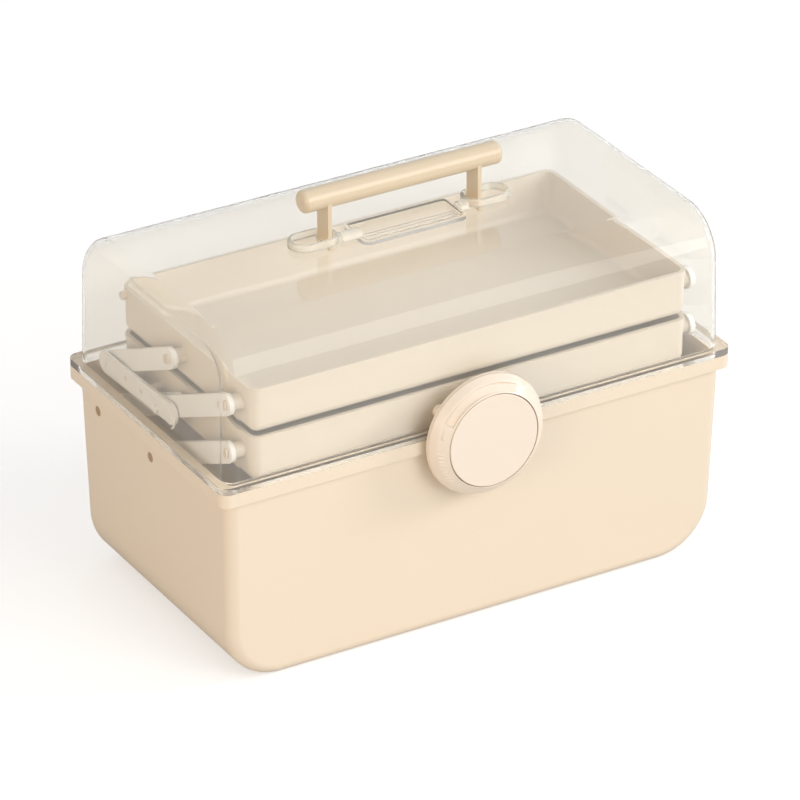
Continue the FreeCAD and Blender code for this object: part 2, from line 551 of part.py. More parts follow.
def make_latch():
    """Turning knob on a fixed round base; its crank swings a headed finger under the strike."""
    base = new_body("latch_base")
    plate = new_sketch(base, "plate", "XZ_Plane", "base_back")
    circle(plate, "-knob_x", "knob_z", "base_radius")
    circle(plate, "-knob_x", "knob_z", "shaft_radius+running_clearance")
    pad(base, plate, "base_thickness")
    for side_name, side in SIDES:
        for name, radius, reach in (("spacer", "mount_radius", "base_back-lid_side-running_clearance"),
                                    ("peg", "mount_peg", "base_back-lid_side+lid_wall")):
            stem = new_sketch(base, "%s_%s" % (name, side_name), "XZ_Plane", "base_back")
            circle(stem, mirrored(side, "mount_spacing/2") + "-knob_x", "mount_z", radius)
            pad(base, stem, reach, backwards=True)

    knob_back = "(base_back+base_thickness+piece_gap)"
    knob_front = "(%s+knob_depth)" % knob_back
    face_seat = "(%s-face_thickness)" % knob_front
    spigot_end = "(base_back-piece_gap-crank_thickness)"
    shaft_end = "(base_back-piece_gap/2)"
    cavity = "(%s-knob_wall/2)" % face_seat
    shoulder = "(%s-shoulder_drop)" % knob_front
    seat_radius = "(face_radius+face_groove)"

    knob = new_body("latch_knob")
    turned = new_sketch(knob, "turned", "XY_Plane")
    outline(turned, [("0", "-" + spigot_end), ("spigot_radius", "-" + spigot_end),
                     ("spigot_radius", "-" + shaft_end), ("shaft_radius", "-" + shaft_end),
                     ("shaft_radius", "-" + knob_back), ("shaft_radius+knob_wall", "-" + knob_back),
                     ("shaft_radius+knob_wall", "-" + cavity),
                     ("shoulder_radius-3*knob_wall/2", "-" + cavity),
                     ("knob_radius-knob_wall", "-" + knob_back), ("knob_radius", "-" + knob_back),
                     ("shoulder_radius", "-" + shoulder), (seat_radius, "-" + knob_front),
                     (seat_radius, "-" + face_seat), ("0", "-" + face_seat)])
    cup = revolve(knob, turned)
    bend = -amount(shoulder)
    fillet(knob, cup, edges_where(cup, lambda box: is_flat(box, 1, bend)), "shoulder_round")

    face = new_body("knob_face")
    disc = new_sketch(face, "disc", "XZ_Plane", face_seat)
    circle(disc, "0", "0", "face_radius")
    coin = pad(face, disc, "face_thickness")
    front = -amount(knob_front)
    fillet(face, coin, edges_where(coin, lambda box: is_flat(box, 1, front)), "face_round")

    crank = new_body("latch_crank")
    hub = new_sketch(crank, "hub", "XZ_Plane", spigot_end)
    circle(hub, "0", "0", "crank_hub")
    circle(hub, "0", "0", "spigot_radius+press_clearance")
    pad(crank, hub, "crank_thickness")
    tongue = new_sketch(crank, "tongue", "XZ_Plane", spigot_end)
    root = "(sqrt(crank_hub^2-finger_radius^2)-press_clearance)"
    outline(tongue, [(root, "-finger_radius"), ("finger_reach", "-finger_radius"),
                     ("finger_reach", "finger_radius"), (root, "finger_radius")])
    pad(crank, tongue, "crank_thickness")
    tip = new_sketch(crank, "tip", "XZ_Plane", spigot_end)
    circle(tip, "finger_reach", "0", "finger_radius")
    pad(crank, tip, "crank_thickness")
    eye = new_sketch(crank, "eye", "XZ_Plane", spigot_end)
    circle(eye, "finger_reach", "0", "finger_shank+press_clearance")
    pocket(crank, eye, "2*crank_thickness", symmetric=True)

    finger = new_body("latch_finger")
    shank = new_sketch(finger, "shank", "XZ_Plane", spigot_end)
    circle(shank, "finger_reach", "0", "finger_shank")
    pad(finger, shank, "crank_thickness")
    head = new_sketch(finger, "head", "XZ_Plane", spigot_end)
    circle(head, "finger_reach", "0", "finger_radius")
    pad(finger, head, "finger_length-crank_thickness", backwards=True)

    for body in (knob, face, crank, finger):
        bind(body, "Placement.Base.x", "-knob_x")
        bind(body, "Placement.Base.z", "knob_z")


def place_arm(body, side, plane, y, z, tilt):
    """Stand a bar on its rear pin and tilt it; every bar is drawn level, running forwards."""
    body.Placement = Placement(Vector(0, 0, 0), Rotation(Vector(1, 0, 0), -amount(tilt)))
    bind(body, "Placement.Rotation.Angle", "-" + tilt)
    bind(body, "Placement.Base.x", mirrored(side, plane))
    bind(body, "Placement.Base.y", y)
    bind(body, "Placement.Base.z", z)


def make_arm(label, side, plane, y, z, peg_reach):
    """Round-ended arm with an eye at its front end; the rear end has an eye or an outward peg."""
    body = new_body(label)
    bar = new_sketch(body, "bar", "YZ_Plane")
    slot(bar, "-arm_length", "arm_half_width")
    pad(body, bar, "arm_thickness", backwards=outward(side))
    eyes = new_sketch(body, "eyes", "YZ_Plane")
    circle(eyes, "-arm_length", "0", "stud_radius+running_clearance")
    if peg_reach is None:
        circle(eyes, "0", "0", "tub_pin_radius+running_clearance")
    pocket(body, eyes, "arm_thickness", backwards=not outward(side))
    if peg_reach is not None:
        peg = new_sketch(body, "peg", "YZ_Plane", mirrored(side, "arm_thickness"))
        circle(peg, "0", "0", "peg_radius")
        pad(body, peg, peg_reach, backwards=outward(side))
    place_arm(body, side, plane, y, z, "arm_tilt")


def make_arms():
    through = "plate_gap+plate_thickness"
    for side_name, side in SIDES:
        make_arm("lower_rear_arm_" + side_name, side, "inner_plane", "lower_pin_y", "lower_pin_z", None)
        make_arm("lower_front_arm_" + side_name, side, "outer_plane", LOWER_FRONT_Y, "lower_pin_z", None)
        make_arm("upper_rear_arm_" + side_name, side, "outer_plane", "upper_pin_y", "upper_pin_z",
                 through + "+rear_peg_reach")
        make_arm("upper_front_arm_" + side_name, side, "outer_plane", UPPER_FRONT_Y, "upper_pin_z",
                 through + "+front_peg_reach")


def make_side_plates():
    """Long bars fixed outside the lower tray that carry the upper arms' pegs."""
    for side_name, side in SIDES:
        body = new_body("side_plate_" + side_name)
        bar = new_sketch(body, "bar", "YZ_Plane")
        slot(bar, "-plate_length", "plate_half_width")
        pad(body, bar, "plate_thickness", backwards=outward(side))
        holes = new_sketch(body, "holes", "YZ_Plane")
        circle(holes, "0", "0", "peg_radius+running_clearance")
        for y, z, radius in ((UPPER_FRONT_Y, "upper_pin_z", "peg_radius"),
                             ("plate_stud_y", "plate_stud_z", "plate_peg_radius"),
                             ("(plate_stud_y+plate_stud_spacing)", "plate_stud_z", "plate_peg_radius")):
            back = "(%s-upper_pin_y)" % y
            lift = "(%s-upper_pin_z)" % z
            circle(holes, "%s*cos(plate_tilt)-%s*sin(plate_tilt)" % (back, lift),
                   "%s*sin(plate_tilt)+%s*cos(plate_tilt)" % (back, lift), radius + "+running_clearance")
        pocket(body, holes, "plate_thickness", backwards=not outward(side))
        place_arm(body, side, PLATE_PLANE, "upper_pin_y", "upper_pin_z", "plate_tilt")


def make_tray_shell(body, base_height):
    """Open tray with rounded corners and a thin band round its rim."""
    middle = "(tray_rear-tray_front)/2"
    depth = "(tray_rear+tray_front)"
    plan = new_sketch(body, "plan", "XY_Plane", base_height, y=middle)
    rounded_rectangle(plan, "tray_length-2*rim_step", depth + "-2*rim_step", "tray_corner")
    block = pad(body, plan, "tray_height")
    foot = edges_where(block, lambda box: is_flat(box, 2, amount(base_height)))
    smooth = fillet(body, block, foot, "tray_foot")
    hollow(body, smooth, faces_facing(smooth, Vector(0, 0, 1)), "tray_wall")
    band = new_sketch(body, "band", "XY_Plane", "%s+tray_height-rim_height" % base_height, y=middle)
    rounded_rectangle(band, "tray_length", depth, "tray_corner+rim_step")
    rounded_rectangle(band, "tray_length-2*rim_step-tray_wall", depth + "-2*rim_step-tray_wall",
                      "tray_corner-tray_wall/2")
    pad(body, band, "rim_height")


def make_stud(body, name, side, plane, y, z, snap):
    """Stud on a tray's end wall: a spacer up to the arm, the pin in its eye and a split head."""
    spacer = "%s-arm_gap-%s" % (plane, TRAY_WALL_IN)
    round_boss(body, "spacer_" + name, side, TRAY_WALL_IN, y, z, "boss_radius", spacer)
    tip = "(%s+arm_thickness+arm_gap)" % plane
    pin = "%s-%s" % (tip, TRAY_WALL_IN)
    round_boss(body, "pin_" + name, side, TRAY_WALL_IN, y, z, "stud_radius", pin)
    if snap:
        round_boss(body, "snap_" + name, side, tip, y, z, "snap_radius", "snap_length")
        slit = new_sketch(body, "slit_" + name, "YZ_Plane", mirrored(side, tip + "+snap_length"))
        low, high = z + "-snap_radius-lap", z + "+snap_radius+lap"
        outline(slit, [(y + "-snap_slit/2", low), (y + "+snap_slit/2", low),
                       (y + "+snap_slit/2", high), (y + "-snap_slit/2", high)])
        pocket(body, slit, "snap_length", backwards=outward(side))


def make_trays():
    lower = new_body("lower_tray")
    make_tray_shell(lower, "lower_tray_base")
    stud_z = "(lower_pin_z+%s)" % RISE
    for side_name, side in SIDES:
        make_stud(lower, "front_" + side_name, side, "outer_plane", "(%s-%s)" % (LOWER_FRONT_Y, RUN),
                  stud_z, True)
        make_stud(lower, "rear_" + side_name, side, "inner_plane", "(lower_pin_y-%s)" % RUN, stud_z, False)
        for n, y in enumerate(("plate_stud_y", "(plate_stud_y+plate_stud_spacing)")):
            name = "plate_stud_%d_%s" % (n, side_name)
            round_boss(lower, name, side, TRAY_WALL_IN, y, "plate_stud_z", "plate_stud_radius",
                       "%s-running_clearance-%s" % (PLATE_PLANE, TRAY_WALL_IN))
            round_boss(lower, name + "_peg", side, TRAY_WALL_IN, y, "plate_stud_z", "plate_peg_radius",
                       "%s+plate_thickness-%s" % (PLATE_PLANE, TRAY_WALL_IN))

    upper = new_body("upper_tray")
    base = "(lower_tray_base+tray_pitch)"
    make_tray_shell(upper, base)
    stud_z = "(upper_pin_z+%s)" % RISE
    for side_name, side in SIDES:
        make_stud(upper, "front_" + side_name, side, "outer_plane", "(%s-%s)" % (UPPER_FRONT_Y, RUN),
                  stud_z, True)
        make_stud(upper, "rear_" + side_name, side, "outer_plane", "(upper_pin_y-%s)" % RUN, stud_z, True)
        round_boss(upper, "lug_" + side_name, side, TRAY_WALL_IN, "lug_y",
                   "(%s+tray_height-lug_drop)" % base, "lug_radius", "lug_reach+lap")


def check_and_write():
    doc.recompute()
    for item in doc.Objects:
        if "Invalid" in item.State or "Error" in item.State:
            raise RuntimeError("%s did not rebuild" % item.Name)
    os.makedirs("parts", exist_ok=True)
    for node in NODES:
        shape = node.Shape
        if shape.isNull() or not shape.isValid():
            raise RuntimeError("%s has no valid shape" % node.Label)
    for node in NODES:
        node.Shape.exportStep("parts/%s.step" % node.Label)
        box = node.Shape.BoundBox
        print("%-24s solids %d  x %.1f..%.1f  y %.1f..%.1f  z %.1f..%.1f" % (
            node.Label, len(node.Shape.Solids), box.XMin, box.XMax, box.YMin, box.YMax, box.ZMin, box.ZMax))


make_tub()
make_strike()
make_tub_pins()
make_hinge_pins()
make_lid()
make_handle_fittings()
make_handle()
make_latch()
make_arms()
make_side_plates()
make_trays()
check_and_write()
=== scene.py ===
"""First aid box: the finish of its shells, trays, arms, handle and turning latch."""

import math

import bpy
import numpy as np
from mathutils import Matrix, Vector


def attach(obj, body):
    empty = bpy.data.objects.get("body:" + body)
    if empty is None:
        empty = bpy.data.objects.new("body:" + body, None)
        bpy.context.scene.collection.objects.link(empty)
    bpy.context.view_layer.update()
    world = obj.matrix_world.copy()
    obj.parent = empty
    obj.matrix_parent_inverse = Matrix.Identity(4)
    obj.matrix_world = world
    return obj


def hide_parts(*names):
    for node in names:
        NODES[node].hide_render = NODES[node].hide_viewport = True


bl_info = {
    "name": "First aid box",
    "version": (1, 0, 0),
    "blender": (4, 5, 0),
    "location": "View3D > Sidebar > First aid box",
    "description": "Dresses a first aid box with cantilever trays, a clear lid and a turning latch",
    "category": "Object",
}

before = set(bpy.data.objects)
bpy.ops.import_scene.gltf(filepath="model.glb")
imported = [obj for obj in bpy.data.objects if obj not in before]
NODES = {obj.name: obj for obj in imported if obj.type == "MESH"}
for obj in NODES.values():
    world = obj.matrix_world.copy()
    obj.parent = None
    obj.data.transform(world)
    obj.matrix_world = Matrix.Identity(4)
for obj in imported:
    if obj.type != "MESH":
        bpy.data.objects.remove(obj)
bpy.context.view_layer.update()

FLOAT, VECTOR, COLOUR = "NodeSocketFloat", "NodeSocketVector", "NodeSocketColor"
WHITE = (1.0, 1.0, 1.0, 1.0)

# The relief of the ring's bevel. Angles are in degrees round the ring, from its right side upwards. Shares
# of the bevel go from 0 at the shoulder to 1 at the lip. Each has a rise and a fall, and each of those is the
# start and the end of a smooth step.
RECESS_ANGLES, RECESS_SHARES = ((52.0, 76.0), (150.5, 151.7)), ((0.10, 0.16), (0.80, 0.86))
RIDGE_ANGLES, RIDGE_SHARES = ((179.0, 183.0), (221.0, 225.0)), ((0.10, 0.16), (0.44, 0.54))
MARK_ANGLES, MARK_SHARES = ((155.0, 155.8), (166.2, 167.0)), ((0.30, 0.34), (0.50, 0.54))
RIDGE_PITCH = 4.4

# The recess is this many times its depth at the shoulder, and loses this many times its depth by the lip.
RECESS_AT_SHOULDER, RECESS_LOSS = 1.1, 0.5

# Height of the mark over that of the ridges.
MARK_RISE = 1.2

# Steps along each straight line of the ring's profile, most of them on the bevel.
PROFILE_STEPS = (2, 2, 2, 2, 3, 3, 3, 3, 8, 64, 4)

# Steps along and round the side plates' rib, and the least share of its width at its ends.
RIB_STEPS, RIB_SIDES, RIB_TIP = 160, 16, 0.01

# Rings and sides of the side plates' boss, and the angle from its pole to its first ring.
BOSS_RINGS, BOSS_SIDES, BOSS_POLE = 25, 64, 0.02

FLOOR_HALF_SIZE, FLOOR_STEPS = 6.0, 8

# Name, which is that of its power too, place, target, size and colour of each lamp.
LAMPS = (
    ("key", (0.8, -2.6, 1.5), (0.0, 0.0, 0.1), 1.8, (1.0, 1.0, 1.0)),
    ("fill", (-1.5, -0.7, 0.55), (-0.1, 0.0, 0.15), 0.8, (1.0, 0.77, 0.52)),
    ("rake", (3.0, -1.3, 1.3), (0.0, 0.0, 0.1), 0.9, (1.0, 0.98, 0.94)),
    ("top", (0.2, 0.3, 2.4), (0.0, 0.0, 0.1), 1.8, (1.0, 1.0, 1.0)),
)


def colour(name, description, value):
    """A colour that the sidebar shows as a swatch."""
    return bpy.props.FloatVectorProperty(
        name=name, description=description, default=value, subtype="COLOR", size=3, min=0, max=1
    )


def share(name, description, value, top=1.0):
    """A plain number from nothing to its top."""
    return bpy.props.FloatProperty(name=name, description=description, default=value, min=0, max=top)


def length(name, description, value):
    """A length in metres, shown in the scene's units."""
    return bpy.props.FloatProperty(
        name=name, description=description, default=value, min=0, unit="LENGTH", precision=5
    )


def arc(name, description, degrees):
    """An angle, given in degrees."""
    return bpy.props.FloatProperty(
        name=name, description=description, default=math.radians(degrees), subtype="ANGLE", unit="ROTATION"
    )


class BoxColours(bpy.types.PropertyGroup):
    """The colours of the box's plastics, as linear values."""

    tub: colour("Tub", "Cream plastic of the tub", (0.86, 0.745, 0.60))
    # The trays' cream is their own colour, darkened as painted shade for the dimmer light under the lid.
    tray: colour("Trays", "Cream plastic of the two trays", (0.75, 0.69, 0.60))
    lid: colour("Lid", "Tint that each face of the lid gives to what is behind it", (0.96, 0.95, 0.92))
    arm: colour("Arms", "Milky plastic of the tray arms", (0.93, 0.95, 0.97))
    handle: colour("Handle", "Cream plastic of the handle", (0.73, 0.61, 0.45))
    knob: colour("Knob", "Cream plastic of the turning latch", (0.87, 0.77, 0.66))
    fitting: colour("Fittings", "Milky clear plastic round the posts", (0.97, 0.95, 0.89))
    # The arm pins' dark colour is painted shade: it stands for the shade in the recesses round their heads.
    pin: colour("Pins", "Plastic of the arm pins", (0.42, 0.28, 0.16))
    steel: colour("Steel", "Bright steel of the hinge pins", (0.62, 0.61, 0.60))
    floor: colour("Floor", "Pale floor under the box", (0.64, 0.64, 0.64))


class BoxSurfaces(bpy.types.PropertyGroup):
    """How smooth and how even the surfaces are."""

    satin: share("Satin", "Roughness of the moulded plastic", 0.30)
    polish: share("Polish", "Roughness of the handle and of the fittings round its posts", 0.17)
    gloss: share("Gloss", "Roughness of the lid", 0.0)
    clear: share("Clear", "How much of the light the lid lets through", 0.90)
    milky: share("Milky", "How much of the light the fittings round the posts let through", 0.72)
    bend: share("Bend", "Refractive index of the clear plastic", 1.35, 2.5)
    grain: length("Grain", "Size of the moulded grain", 0.0011)
    grain_depth: length("Grain depth", "Depth of the moulded grain", 0.000012)
    drift: share("Drift", "How far the plastic's colour drifts over a panel", 0.05)
    # Paling of the edges, which paints a highlight along them as well as rubbing.
    wear_and_highlight: share("Wear", "How pale the rubbed edges are", 0.25)
    hairlines: share("Hairlines", "How strong the fine scratches are", 0.02)


class BoxLights(bpy.types.PropertyGroup):
    """The studio light."""

    key: share("Key", "Power of the large lamp at the front", 35.0, 1000.0)
    rake: share("Rake", "Power of the lamp at the far right, which throws the knob's shadow", 42.0, 1000.0)
    fill: share("Fill", "Power of the warm lamp at the left", 8.0, 1000.0)
    top: share("Top", "Power of the large lamp overhead", 1.5, 1000.0)
    sky: share("Sky", "Strength of the even light from all sides", 0.54, 10.0)
    gloss: share("Gloss", "Strength of the surroundings in reflections", 0.90, 10.0)
    backdrop: share("Backdrop", "Light that the floor adds for the camera alone", 0.50, 10.0)


class BoxView(bpy.types.PropertyGroup):
    """Where the camera stands."""

    azimuth: arc("Azimuth", "Turn of the view to the right of the front, and below zero to the left", -30.43)
    elevation: arc("Elevation", "Height of the view above the horizon", 28.48)
    distance: length("Distance", "From the camera to the middle of the floor", 3.49376)
    rise: length("Rise", "How far the view's centre is above the middle of the floor", 0.08781)
    aside: length("Aside", "How far the view's centre is to the right", 0.00014)
    lens: bpy.props.FloatProperty(
        name="Lens", description="Focal length", default=272.9043, min=1, subtype="DISTANCE_CAMERA"
    )


class NodeMaker:
    """Adds nodes to one tree and wires them, so that a material reads as a list of steps."""

    def __init__(self, tree):
        self.tree = tree
        tree.nodes.clear()

    def add(self, kind, settings=None, **inputs):
        """A node of this kind; settings are its own properties, inputs go to its sockets by name."""
        node = self.tree.nodes.new(kind)
        for key, value in (settings or {}).items():
            setattr(node, key, value)
        for key, value in inputs.items():
            self.feed(node.inputs[key.replace("_", " ")], value)
        return node

    def feed(self, socket, value):
        """Links an output socket to this input, or sets it to a plain value."""
        if isinstance(value, bpy.types.NodeSocket):
            self.tree.links.new(value, socket)
        else:
            socket.default_value = value

    def maths(self, operation, first, second=0.0, third=0.0):
        """The output of one Math node."""
        node = self.add("ShaderNodeMath", {"operation": operation})
        for socket, value in zip(node.inputs, (first, second, third)):
            self.feed(socket, value)
        return node.outputs[0]

    def spread(self, value, low, high, to_low=0.0, to_high=1.0):
        """value taken from one range to another, held at the ends."""
        node = self.add("ShaderNodeMapRange")
        for socket, number in zip(node.inputs, (value, low, high, to_low, to_high)):
            self.feed(socket, number)
        return node.outputs[0]

    def blend(self, amount, first, second, kind="MIX"):
        """Two colours blended."""
        node = self.add("ShaderNodeMix", {"data_type": "RGBA", "blend_type": kind})
        self.feed(node.inputs[0], amount)
        self.feed(node.inputs[6], first)
        self.feed(node.inputs[7], second)
        return node.outputs[2]

    def group(self, tree, **inputs):
        """The outputs of this node group, placed with its own values."""
        return self.add("ShaderNodeGroup", {"node_tree": tree}, **inputs).outputs

    def finish(self, shader, kind="ShaderNodeOutputMaterial"):
        """Sends the shader to the tree's output."""
        self.feed(self.add(kind).inputs["Surface"], shader.outputs[0])


def new_group(name, inputs, outputs):
    """An empty shader node group with named sockets, its maker, and its inputs and outputs by name."""
    tree = bpy.data.node_groups.new(name, "ShaderNodeTree")
    for label, kind, value in inputs:
        socket = tree.interface.new_socket(label, in_out="INPUT", socket_type=kind)
        if value is not None:
            socket.default_value = value
    for label, kind in outputs:
        tree.interface.new_socket(label, in_out="OUTPUT", socket_type=kind)
    maker = NodeMaker(tree)
    return tree, maker, maker.add("NodeGroupInput").outputs, maker.add("NodeGroupOutput").inputs


def moulded_grain():
    """The fine even grain of moulded plastic: a height for the bump and a roughness that varies with it."""
    if "moulded_grain" in bpy.data.node_groups:
        return bpy.data.node_groups["moulded_grain"]
    tree, make, given, result = new_group(
        "moulded_grain",
        [
            ("Position", VECTOR, None), ("Grain", FLOAT, 0.001), ("Satin", FLOAT, 0.35),
            ("Spread", FLOAT, 0.05),
        ],
        [("Height", FLOAT), ("Roughness", FLOAT)],
    )
    place = given["Position"]
    scale = make.maths("DIVIDE", 1.0, given["Grain"])
    fine = make.add("ShaderNodeTexNoise", Vector=place, Scale=scale, Detail=2.0, Roughness=0.6)
    broad = make.add("ShaderNodeTexNoise", Vector=place, Scale=14.0, Detail=3.0, Roughness=0.55)
    flow = make.spread(broad.outputs["Fac"], 0.0, 1.0, -1.0, 1.0)
    make.feed(result["Height"], fine.outputs["Fac"])
    make.feed(result["Roughness"], make.maths("MULTIPLY_ADD", flow, given["Spread"], given["Satin"]))
    return tree


def colour_drift():
    """A slow drift of a moulded colour over a panel, towards a slightly deeper shade of itself."""
    if "colour_drift" in bpy.data.node_groups:
        return bpy.data.node_groups["colour_drift"]
    tree, make, given, result = new_group(
        "colour_drift",
        [("Position", VECTOR, None), ("Colour", COLOUR, WHITE), ("Drift", FLOAT, 0.05)],
        [("Colour", COLOUR)],
    )
    clouds = make.add("ShaderNodeTexNoise", Vector=given["Position"], Scale=5.0, Detail=2.0, Roughness=0.5)
    flow = make.spread(clouds.outputs["Fac"], 0.0, 1.0)
    deeper = make.blend(1.0, given["Colour"], (0.93, 0.86, 0.76, 1.0), "MULTIPLY")
    amount = make.maths("MULTIPLY", flow, make.maths("MULTIPLY", given["Drift"], 4.0))
    make.feed(result["Colour"], make.blend(amount, given["Colour"], deeper))
    return tree


def rubbed_edge():
    """Where a sharp edge is paled, as rubbing and as a painted highlight of its rounding: the true normal
    against one rounded over a small radius.
    """
    if "rubbed_edge" in bpy.data.node_groups:
        return bpy.data.node_groups["rubbed_edge"]
    tree, make, given, result = new_group(
        "rubbed_edge",
        [
            ("Position", VECTOR, None), ("Colour", COLOUR, WHITE), ("Radius", FLOAT, 0.0006),
            ("Wear", FLOAT, 0.3),
        ],
        [("Colour", COLOUR)],
    )
    rounded = make.add("ShaderNodeBevel", {"samples": 6}, Radius=given["Radius"])
    true = make.add("ShaderNodeNewGeometry")
    turned = make.add("ShaderNodeVectorMath", {"operation": "DOT_PRODUCT"})
    make.feed(turned.inputs[0], rounded.outputs[0])
    make.feed(turned.inputs[1], true.outputs["Normal"])
    edge = make.spread(turned.outputs["Value"], 0.99, 0.80)
    patches = make.add(
        "ShaderNodeTexNoise", Vector=given["Position"], Scale=160.0, Detail=3.0, Roughness=0.6
    )
    broken = make.spread(patches.outputs["Fac"], 0.35, 0.6)
    mask = make.maths("MULTIPLY", make.maths("MULTIPLY", edge, broken), given["Wear"])
    # Painted highlight and rubbing: the found edges are blended towards a pale cream.
    pale = make.blend(0.6, given["Colour"], (1.0, 0.97, 0.91, 1.0))
    make.feed(result["Colour"], make.blend(mask, given["Colour"], pale))
    return tree


def hairlines():
    """The roughness of fine straight scratches that run several ways, as wiping leaves them."""
    if "hairlines" in bpy.data.node_groups:
        return bpy.data.node_groups["hairlines"]
    tree, make, given, result = new_group(
        "hairlines",
        [("Position", VECTOR, None), ("Strength", FLOAT, 0.3), ("Gloss", FLOAT, 0.05)],
        [("Roughness", FLOAT)],
    )
    total = 0.0
    for turn in ((0.3, 0.5, 0.2), (1.4, 0.9, 0.7), (2.3, 0.2, 1.9)):
        laid = make.add(
            "ShaderNodeMapping", Vector=given["Position"], Rotation=turn, Scale=(9.0, 900.0, 70.0)
        )
        lines = make.add(
            "ShaderNodeTexNoise", Vector=laid.outputs[0], Scale=1.0, Detail=1.0, Roughness=0.5
        )
        total = make.maths("MAXIMUM", total, make.spread(lines.outputs["Fac"], 0.66, 0.72))
    mask = make.maths("MULTIPLY", total, given["Strength"])
    make.feed(result["Roughness"], make.maths("MULTIPLY_ADD", mask, 0.25, given["Gloss"]))
    return tree


def new_material(name, tone, alpha=1.0):
    """A material with its viewport colour, the maker of its nodes, and its Object coordinates."""
    material = bpy.data.materials.new(name)
    material.use_nodes = True
    material.diffuse_color = (*tone, alpha)
    make = NodeMaker(material.node_tree)
    return material, make, make.add("ShaderNodeTexCoord").outputs["Object"]


def moulded_plastic(name, tone, satin):
    """Moulded plastic: a drifting colour, edges paled as rubbing and as a painted highlight, and a fine grain
    that breaks up the gloss.
    """
    looks = bpy.context.scene.box_surfaces
    material, make, place = new_material(name, tone)
    drifting = make.group(colour_drift(), Position=place, Colour=(*tone, 1.0), Drift=looks.drift)
    scuffed_and_highlit = make.group(rubbed_edge(), Position=place, Colour=drifting["Colour"], Wear=looks.wear_and_highlight)
    grain = make.group(moulded_grain(), Position=place, Grain=looks.grain, Satin=satin)
    relief = make.add("ShaderNodeBump", Height=grain["Height"], Distance=looks.grain_depth, Strength=1.0)
    make.finish(make.add(
        "ShaderNodeBsdfPrincipled", Base_Color=scuffed_and_highlit["Colour"], Roughness=grain["Roughness"],
        Normal=relief.outputs[0], IOR=1.5,
    ))
    return material


def clear_plastic(name, tone, clear, gloss):
    """Clear plastic: it bends and tints what is behind it, adds a little haze, and lets lamps through."""
    looks = bpy.context.scene.box_surfaces
    material, make, place = new_material(name, tone, 0.3)
    drifting = make.group(colour_drift(), Position=place, Colour=(*tone, 1.0), Drift=looks.drift * 0.4)
    scratched = make.group(hairlines(), Position=place, Strength=looks.hairlines, Gloss=gloss)
    shader = make.add(
        "ShaderNodeBsdfPrincipled", Base_Color=drifting["Colour"], Roughness=scratched["Roughness"],
        Transmission_Weight=clear, IOR=looks.bend,
    )
    lamp_side = make.add("ShaderNodeBsdfTransparent", Color=WHITE)
    through = make.add("ShaderNodeMixShader")
    shadow_ray = make.add("ShaderNodeLightPath").outputs["Is Shadow Ray"]
    for socket, value in zip(through.inputs, (shadow_ray, shader.outputs[0], lamp_side.outputs[0])):
        make.feed(socket, value)
    make.finish(through)
    return material


def bright_steel(name, tone):
    """Drawn steel wire: metal with fine lines in its gloss."""
    material, make, place = new_material(name, tone)
    lines = make.group(hairlines(), Position=place, Strength=0.8, Gloss=0.28)
    drifting = make.group(colour_drift(), Position=place, Colour=(*tone, 1.0))
    make.finish(make.add(
        "ShaderNodeBsdfPrincipled", Base_Color=drifting["Colour"], Roughness=lines["Roughness"], Metallic=1.0
    ))
    return material


def node_box(name):
    """Lowest and highest corner of a CAD node."""
    node = NODES[name]
    points = np.array([node.matrix_world @ vertex.co for vertex in node.data.vertices])
    return points.min(axis=0), points.max(axis=0)


def dress(nodes, material):
    """Gives CAD nodes this material in every slot."""
    for name in nodes:
        slots = NODES[name].data.materials
        for index in range(len(slots)):
            slots[index] = material


def mesh_object(name, points, faces, smooth=True):
    """A mesh object at the origin from an array of points and a list of faces."""
    mesh = bpy.data.meshes.new(name)
    mesh.from_pydata(points.tolist(), [], faces)
    mesh.polygons.foreach_set("use_smooth", np.full(len(faces), smooth))
    mesh.update()
    thing = bpy.data.objects.new(name, mesh)
    bpy.context.scene.collection.objects.link(thing)
    return thing


def full_turn(count):
    """Evenly spaced angles round a full turn, in radians."""
    return np.arange(count) * 2.0 * math.pi / count


def moved_in(low, high, value):
    """0 below low, 1 above high, and a smooth step between."""
    part = np.clip((value - low) / (high - low), 0.0, 1.0)
    return part * part * (3.0 - 2.0 * part)


def between(value, rise, fall):
    """1 from the end of the rise to the start of the fall, 0 outside them, with a smooth step at each."""
    return moved_in(*rise, value) * (1.0 - moved_in(*fall, value))


def closed_rings(grid):
    """Points and outward faces of a closed surface: rings in order, the end rings drawn to their middles."""
    rings, columns = grid.shape[:2]
    points = np.vstack([grid.reshape(-1, 3), grid[0].mean(axis=0), grid[-1].mean(axis=0)])
    here = np.arange(columns)
    after = (here + 1) % columns
    start = np.arange(rings - 1)[:, None] * columns
    quads = np.stack(
        [start + here, start + after, start + columns + after, start + columns + here], axis=-1
    ).reshape(-1, 4)
    first, last = rings * columns, (rings - 1) * columns
    near = np.stack([np.full(columns, first), after, here], axis=-1)
    far = np.stack([np.full(columns, first + 1), last + here, last + after], axis=-1)
    corners = points[np.vstack([quads[:, [0, 1, 2]], quads[:, [0, 2, 3]], near, far])]
    volume = np.einsum("ij,ij->i", corners[:, 0], np.cross(corners[:, 1], corners[:, 2])).sum()
    faces = quads.tolist() + near.tolist() + far.tolist()
    return points, faces if volume > 0.0 else [face[::-1] for face in faces]


def turned_surface(centre, radius, depth):
    """A closed turning about the line along Y through the centre: rings of radius and depth."""
    angle = full_turn(radius.shape[1])
    return closed_rings(np.stack(
        [
            centre[0] + radius * np.cos(angle), np.broadcast_to(depth, radius.shape),
            centre[2] + radius * np.sin(angle),
        ], axis=-1,
    ))


def joined(first, second):
    """Two surfaces as one, each given as its points and its faces."""
    shift = len(first[0])
    moved = [[index + shift for index in face] for face in second[1]]
    return np.vstack([first[0], second[0]]), first[1] + moved


